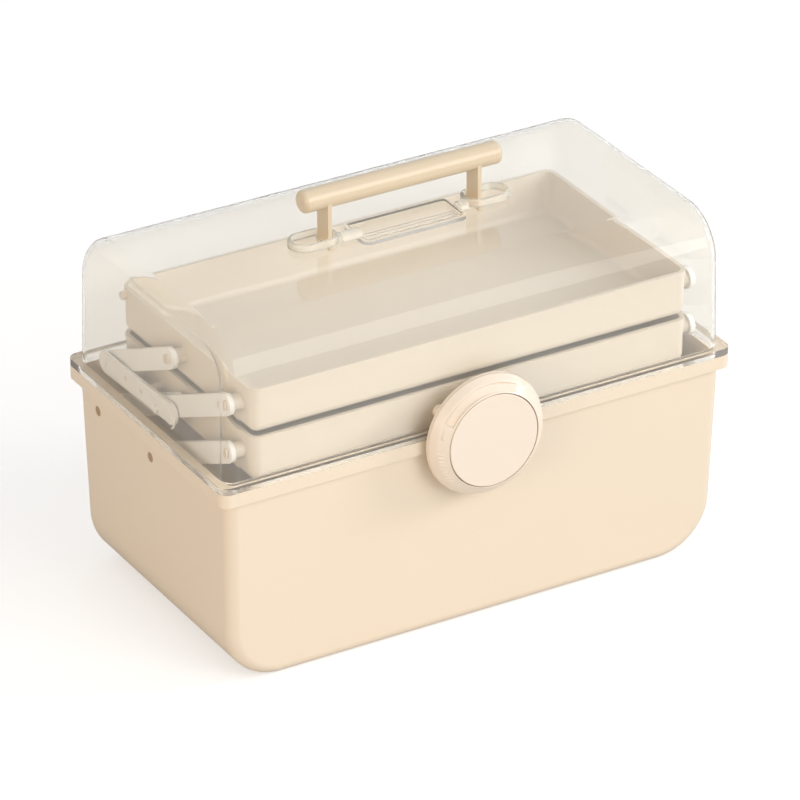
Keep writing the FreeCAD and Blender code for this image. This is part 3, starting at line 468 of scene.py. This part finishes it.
class BOX_OT_tub(bpy.types.Operator):
    """Dress the tub in satin cream plastic"""

    bl_idname = "box.tub"
    bl_label = "Tub"

    def execute(self, context):
        scene = context.scene
        cream = moulded_plastic("moulded_tub", scene.box_colours.tub, scene.box_surfaces.satin)
        dress(["tub_shell", "latch_strike"], cream)
        return {"FINISHED"}


class BOX_OT_lid(bpy.types.Operator):
    """Dress the lid, the bezels and the post clips in clear plastic"""

    bl_idname = "box.lid"
    bl_label = "Clear lid"

    def execute(self, context):
        tones, looks = context.scene.box_colours, context.scene.box_surfaces
        dress(["lid_shell"], clear_plastic("clear_lid", tones.lid, looks.clear, looks.gloss))
        fittings = clear_plastic("clear_fittings", tones.fitting, looks.milky, looks.polish)
        dress(["handle_bezel_left", "handle_bezel_right", "post_clip_left", "post_clip_right"], fittings)
        return {"FINISHED"}


class BOX_OT_handle(bpy.types.Operator):
    """Dress the grip, its caps and its posts"""

    bl_idname = "box.handle"
    bl_label = "Handle"

    def execute(self, context):
        scene = context.scene
        cream = moulded_plastic("moulded_handle", scene.box_colours.handle, scene.box_surfaces.polish)
        dress(["handle_grip", "grip_cap_left", "grip_cap_right"], cream)
        dress(["handle_post_left", "handle_post_right"], cream)
        return {"FINISHED"}


class BoxKnob(bpy.types.PropertyGroup):
    """The turning ring of the latch: its own relief, on the model's ring."""

    columns: bpy.props.IntProperty(name="Columns", description="Steps round the ring", default=480, min=24)
    lip: length("Lip", "Radius of the seat of the face disc", 0.0287)
    shoulder: length("Shoulder", "Radius where the bevel meets the side", 0.0344)
    depth: length("Depth", "From the ring's front to its rim, without the skirt", 0.0094)
    bevel: length("Bevel", "Depth of the bevel", 0.0049)
    seat: length("Seat", "Depth of the face disc's seat", 0.0022)
    wall: length("Wall", "Thickness of the ring's wall at its rim", 0.003)
    hub: length("Hub", "Radius of the hub in the ring's hollow", 0.008)
    spigot: length("Spigot", "Radius of the spigot behind the hub", 0.005)
    tip: length("Tip", "Radius of the spigot's stepped end", 0.0035)
    tip_length: length("Tip length", "Length of the spigot's stepped end", 0.00165)
    rounding: length("Rounding", "Rounding of the bevel's two edges", 0.0007)
    skirt: length("Skirt", "How far the ring's rim closes the gap to its base", 0.00027)
    flare: length("Flare", "How far the ring's rim widens to cover its base", 0.0005)
    recess: length("Recess", "Depth of the long recess in the bevel", 0.0021)
    ridge: length("Ridge", "Height of the grip ridges", 0.0005)


def sampled(corners, counts):
    """Points along a path of straight lines, each with its own number of steps."""
    path = []
    for start, end, count in zip(corners[:-1], corners[1:], counts):
        part = np.linspace(0.0, 1.0, count, endpoint=False)[:, None]
        path.append(np.array(start) + (np.array(end) - np.array(start)) * part)
    path.append(np.array([corners[-1]]))
    return np.vstack(path)


def rounded_path(path, radius, sharp):
    """The path with the points near each sharp corner drawn in towards the mean of their neighbours."""
    for corner in sharp:
        away = np.hypot(*(path - np.array(corner)).T)
        pull = np.exp(-((away / radius) ** 2))[:, None]
        smooth = path.copy()
        smooth[1:-1] = (path[:-2] + path[2:]) / 2
        path = path * (1.0 - pull) + smooth * pull
    return path


def knob_ring(knob, low, high):
    """The ring as a turning, with a long recess, a raised mark and short ridges in its bevel.

    The profile runs from the spigot's end over the hub and the hollow to the rim, and over the shoulder and
    the bevel to the seat. On the bevel, t goes from 0 at the shoulder to 1 at the lip, and the surface sinks
    or rises along its own normal by smooth steps of t and of the angle. The ridges rise by the square of a
    wave of the angle that goes from 0 to 1.
    """
    reach = (high[0] - low[0]) / 2 + knob.flare
    centre = ((low[0] + high[0]) / 2, 0.0, (low[2] + high[2]) / 2)
    front, back = low[1], high[1]
    rear = front + knob.depth + knob.skirt
    bend = front + knob.bevel
    floor = front + knob.seat
    cavity = floor + knob.wall / 2
    path = sampled([
        (knob.tip, back), (knob.tip, back - knob.tip_length), (knob.spigot, back - knob.tip_length),
        (knob.spigot, rear), (knob.hub, rear), (knob.hub, cavity), (knob.shoulder - 1.5 * knob.wall, cavity),
        (reach - knob.wall, rear), (reach, rear), (knob.shoulder, bend), (knob.lip, front), (knob.lip, floor),
    ], PROFILE_STEPS)
    path = rounded_path(path, knob.rounding, ((knob.shoulder, bend), (knob.lip, front)))
    across = (knob.shoulder - path[:, 0]) / (knob.shoulder - knob.lip)
    on_bevel = (path[:, 1] <= bend) & (across >= 0.0) & (across <= 1.0)
    t = np.where(on_bevel, across, -1.0)[:, None]
    slant = math.hypot(knob.shoulder - knob.lip, knob.bevel)
    normal = (knob.bevel / slant, (knob.shoulder - knob.lip) / slant)

    angle = np.degrees(full_turn(knob.columns))[None, :]
    recess = between(t, *RECESS_SHARES) * between(angle, *RECESS_ANGLES)
    sink = knob.recess * (RECESS_AT_SHOULDER - RECESS_LOSS * np.clip(t, 0.0, 1.0)) * recess
    beat = 0.5 + 0.5 * np.cos(np.radians((angle - RIDGE_ANGLES[0][1]) * 360.0 / RIDGE_PITCH))
    ridges = between(t, *RIDGE_SHARES) * between(angle, *RIDGE_ANGLES) * beat ** 2
    mark = between(t, *MARK_SHARES) * between(angle, *MARK_ANGLES)
    out = knob.ridge * (ridges + MARK_RISE * mark) - sink
    return turned_surface(centre, path[:, :1] + out * normal[0], path[:, 1:] - out * normal[1])


class BOX_OT_latch(bpy.types.Operator):
    """Dress the turning latch, and give its ring the relief of its bevel"""

    bl_idname = "box.latch"
    bl_label = "Turning latch"

    def execute(self, context):
        scene = context.scene
        cream = moulded_plastic("moulded_latch", scene.box_colours.knob, scene.box_surfaces.satin)
        dress(["latch_base", "latch_knob", "knob_face", "latch_crank", "latch_finger"], cream)
        low, high = node_box("latch_knob")
        ring = mesh_object("knob_ring", *knob_ring(scene.box_knob, low, high))
        ring.data.materials.append(cream)
        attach(ring, "knob")
        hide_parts("latch_knob")
        return {"FINISHED"}


class BoxPlate(bpy.types.PropertyGroup):
    """The relief on the outer face of each side plate: a rib along its upper edge, and a round boss."""

    half_width: length("Half width", "Half the plate's width, and the radius of its ends", 0.0065)
    inset: length("Inset", "From the plate's edge to the middle of the rib", 0.0012)
    rib_width: length("Rib width", "Width of the rib", 0.0013)
    rib_height: length("Rib height", "Height of the rib and the boss over the plate", 0.0006)
    boss: length("Boss", "Radius of the round boss at the front end", 0.0034)
    hook: arc("Hook", "How far the rib turns round the front end", 165.0)


def plate_relief(plate, low, high, side):
    """The rib and the boss on one plate's outer face, as two closed surfaces.

    The plate is a bar with round ends that slopes down to the front, so its box gives both end centres. The
    rib's middle line keeps one distance from the line between them, runs forward over it and turns round the
    front end. Its section is an ellipse whose lower half is sunk in the plate, and it narrows to a point at
    both ends. The boss is a low dome: its height is the rib's times the fourth root of one minus the fourth
    power of the radius.
    """
    face = high[0] if side > 0 else low[0]
    rear = np.array([high[1] - plate.half_width, high[2] - plate.half_width])
    front = np.array([low[1] + plate.half_width, low[2] + plate.half_width])
    reach = np.linalg.norm(front - rear)
    ahead = (front - rear) / reach
    above = np.array([ahead[1], -ahead[0]])
    offset = plate.half_width - plate.inset

    run = np.linspace(0.0, reach + offset * plate.hook, RIB_STEPS)
    turn = np.clip((run - reach) / offset, 0.0, None)[:, None]
    across = np.sin(turn) * ahead + np.cos(turn) * above
    middle = rear + np.minimum(run, reach)[:, None] * ahead + offset * across
    to_end = np.clip(np.minimum(run, run[-1] - run) / plate.rib_width, RIB_TIP, 1.0)
    narrow = np.sqrt(1.0 - (1.0 - to_end) ** 2)[:, None]
    angle = full_turn(RIB_SIDES)
    sideways = narrow * plate.rib_width / 2 * np.cos(angle)
    out = face + side * narrow * plate.rib_height * np.sin(angle)
    in_plane = middle[:, None, :] + sideways[:, :, None] * across[:, None, :]
    rib = closed_rings(np.concatenate([out[:, :, None], in_plane], axis=-1))

    radius = np.sin(np.linspace(BOSS_POLE, math.pi - BOSS_POLE, BOSS_RINGS))[:, None]
    height = np.copysign((1.0 - radius ** 4) ** 0.25, np.linspace(1.0, -1.0, BOSS_RINGS)[:, None])
    angle = full_turn(BOSS_SIDES)
    boss = closed_rings(np.stack(
        [
            np.broadcast_to(face + side * plate.rib_height * height, (BOSS_RINGS, BOSS_SIDES)),
            front[0] + plate.boss * radius * np.cos(angle),
            front[1] + plate.boss * radius * np.sin(angle),
        ], axis=-1,
    ))
    return joined(rib, boss)


class BOX_OT_arms(bpy.types.Operator):
    """Dress the tray arms and side plates in milky plastic, and give the plates their rib and boss"""

    bl_idname = "box.arms"
    bl_label = "Tray arms"

    def execute(self, context):
        scene = context.scene
        milky = moulded_plastic("milky_arms", scene.box_colours.arm, scene.box_surfaces.satin)
        dress([name for name in NODES if "_arm_" in name or name.startswith("side_plate")], milky)
        for side_name, side in (("left", -1), ("right", 1)):
            low, high = node_box("side_plate_" + side_name)
            relief = mesh_object("plate_relief_" + side_name, *plate_relief(scene.box_plate, low, high, side))
            relief.data.materials.append(milky)
            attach(relief, "lower_tray")
        return {"FINISHED"}


class BOX_OT_trays(bpy.types.Operator):
    """Dress the two trays, in a cream darkened as painted shade for the dimmer light under the lid"""

    bl_idname = "box.trays"
    bl_label = "Trays"

    def execute(self, context):
        scene = context.scene
        # Painted shade: the trays' cream is darkened for the dimmer light under the lid.
        cream = moulded_plastic("moulded_trays", scene.box_colours.tray, scene.box_surfaces.satin)
        dress(["lower_tray", "upper_tray"], cream)
        return {"FINISHED"}


class BOX_OT_pins(bpy.types.Operator):
    """Dress the arm pins in a dark colour that paints the shade of the recesses round their heads, and the
    hinge pins in steel
    """

    bl_idname = "box.pins"
    bl_label = "Pins"

    def execute(self, context):
        scene = context.scene
        # Painted shade: the arm pins take a dark colour for the shade of their recesses.
        plastic = moulded_plastic("moulded_pins", scene.box_colours.pin, scene.box_surfaces.satin)
        dress([name for name in NODES if name.startswith("arm_pin")], plastic)
        dress(["hinge_pin_left", "hinge_pin_right"], bright_steel("drawn_steel", scene.box_colours.steel))
        return {"FINISHED"}


def seen_rays(make):
    """Masks of the rays that the camera sees: one for straight or through clear plastic, one for in gloss."""
    path = make.add("ShaderNodeLightPath").outputs
    first = make.maths("LESS_THAN", path["Diffuse Depth"], 0.5)
    straight = make.maths("MAXIMUM", path["Is Camera Ray"], path["Is Transmission Ray"])
    mirrored = make.maths("SUBTRACT", path["Is Glossy Ray"], path["Is Transmission Ray"])
    kept = make.maths("MULTIPLY", first, straight)
    gloss = make.maths("MULTIPLY", first, make.maths("MAXIMUM", mirrored, 0.0))
    return kept, gloss


def floor_surface(half_size, steps):
    """A level square on a grid: both parameters run from minus to plus the half size, at height zero."""
    line = np.linspace(-half_size, half_size, steps + 1)
    across, along = np.meshgrid(line, line, indexing="ij")
    points = np.stack([across, along, np.zeros_like(across)], axis=-1).reshape(-1, 3)
    row = np.arange(steps)[:, None] * (steps + 1) + np.arange(steps)[None, :]
    quads = np.stack([row, row + steps + 1, row + steps + 2, row + 1], axis=-1).reshape(-1, 4)
    return points, quads.tolist()


def floor_paint(tone, backdrop):
    """Matt paint that takes the box's shadow, and adds some light of its own for the camera alone."""
    material = bpy.data.materials.new("floor_paint")
    material.use_nodes = True
    make = NodeMaker(material.node_tree)
    lift = make.maths("MULTIPLY", seen_rays(make)[0], backdrop)
    make.finish(make.add(
        "ShaderNodeBsdfPrincipled", Base_Color=(*tone, 1.0), Roughness=0.9, Emission_Color=WHITE,
        Emission_Strength=lift,
    ))
    return material


def even_light(sky, gloss):
    """A white world: full strength where the camera sees it, and its own strength in gloss and as light."""
    world = bpy.data.worlds.new("even_light")
    world.use_nodes = True
    make = NodeMaker(world.node_tree)
    seen, mirrored = seen_rays(make)
    unseen = make.spread(mirrored, 0.0, 1.0, sky, gloss)
    strength = make.spread(seen, 0.0, 1.0, unseen, 1.0)
    make.finish(make.add("ShaderNodeBackground", Color=WHITE, Strength=strength), "ShaderNodeOutputWorld")
    return world


def add_lamp(name, place, target, size, tone, power):
    """A square soft lamp that faces a target. Its light passes clear plastic as a shadow ray alone."""
    data = bpy.data.lights.new(name, "AREA")
    data.shape, data.size, data.energy, data.color = "SQUARE", size, power, tone
    lamp = bpy.data.objects.new(name, data)
    lamp.location = place
    lamp.visible_transmission = False
    lamp.rotation_euler = (Vector(target) - Vector(place)).to_track_quat("-Z", "Y").to_euler()
    bpy.context.scene.collection.objects.link(lamp)


def view_axes(azimuth, elevation):
    """Right, up and backward directions of a camera that looks level along +Y at azimuth zero."""
    right = Vector((math.cos(azimuth), math.sin(azimuth), 0.0))
    flat = math.cos(elevation)
    back = Vector((math.sin(azimuth) * flat, -math.cos(azimuth) * flat, math.sin(elevation)))
    return right, back.cross(right), back


def add_camera(view):
    """The camera, at its distance behind the view's centre."""
    right, up, back = view_axes(view.azimuth, view.elevation)
    data = bpy.data.cameras.new("camera")
    data.sensor_width, data.lens, data.dof.use_dof = 36.0, view.lens, False
    data.clip_start, data.clip_end = 0.1, 50.0
    camera = bpy.data.objects.new("camera", data)
    place = back * view.distance + up * view.rise + right * view.aside
    turn = Matrix((right, up, back)).transposed().to_4x4()
    camera.matrix_world = Matrix.Translation(place) @ turn
    bpy.context.scene.collection.objects.link(camera)
    return camera


class BOX_OT_stage(bpy.types.Operator):
    """Set the floor, the lamps, the even light and the camera"""

    bl_idname = "box.stage"
    bl_label = "Stage"

    def execute(self, context):
        scene = context.scene
        lights = scene.box_lights
        floor = mesh_object("floor", *floor_surface(FLOOR_HALF_SIZE, FLOOR_STEPS), smooth=False)
        floor.data.materials.append(floor_paint(scene.box_colours.floor, lights.backdrop))
        scene.world = even_light(lights.sky, lights.gloss)
        for name, place, target, size, tone in LAMPS:
            add_lamp(name + "_lamp", place, target, size, tone, getattr(lights, name))
        scene.camera = add_camera(scene.box_view)
        scene.view_settings.view_transform = "Standard"
        return {"FINISHED"}


STEPS = (
    BOX_OT_tub, BOX_OT_lid, BOX_OT_handle, BOX_OT_latch, BOX_OT_arms, BOX_OT_trays, BOX_OT_pins, BOX_OT_stage,
)
GROUPS = {
    "box_colours": BoxColours,
    "box_surfaces": BoxSurfaces,
    "box_knob": BoxKnob,
    "box_plate": BoxPlate,
    "box_lights": BoxLights,
    "box_view": BoxView,
}


class BOX_PT_panel(bpy.types.Panel):
    """The sizes, colours and steps of the box"""

    bl_idname = "BOX_PT_panel"
    bl_label = "First aid box"
    bl_space_type = "VIEW_3D"
    bl_region_type = "UI"
    bl_category = "First aid box"

    def draw(self, context):
        for group in GROUPS:
            held = getattr(context.scene, group)
            column = self.layout.column()
            for key in held.__annotations__:
                column.prop(held, key)
        for step in STEPS:
            self.layout.operator(step.bl_idname)


def register():
    """Makes the groups, steps and panel known to Blender."""
    for name, group in GROUPS.items():
        bpy.utils.register_class(group)
        setattr(bpy.types.Scene, name, bpy.props.PointerProperty(type=group))
    for step in (*STEPS, BOX_PT_panel):
        bpy.utils.register_class(step)


def unregister():
    """Takes them out again."""
    for step in (BOX_PT_panel, *reversed(STEPS)):
        bpy.utils.unregister_class(step)
    for name, group in GROUPS.items():
        delattr(bpy.types.Scene, name)
        bpy.utils.unregister_class(group)


def main():
    """Dresses the whole box in order."""
    register()
    for step in STEPS:
        family, name = step.bl_idname.split(".")
        getattr(getattr(bpy.ops, family), name)()


if __name__ == "__main__":
    main()
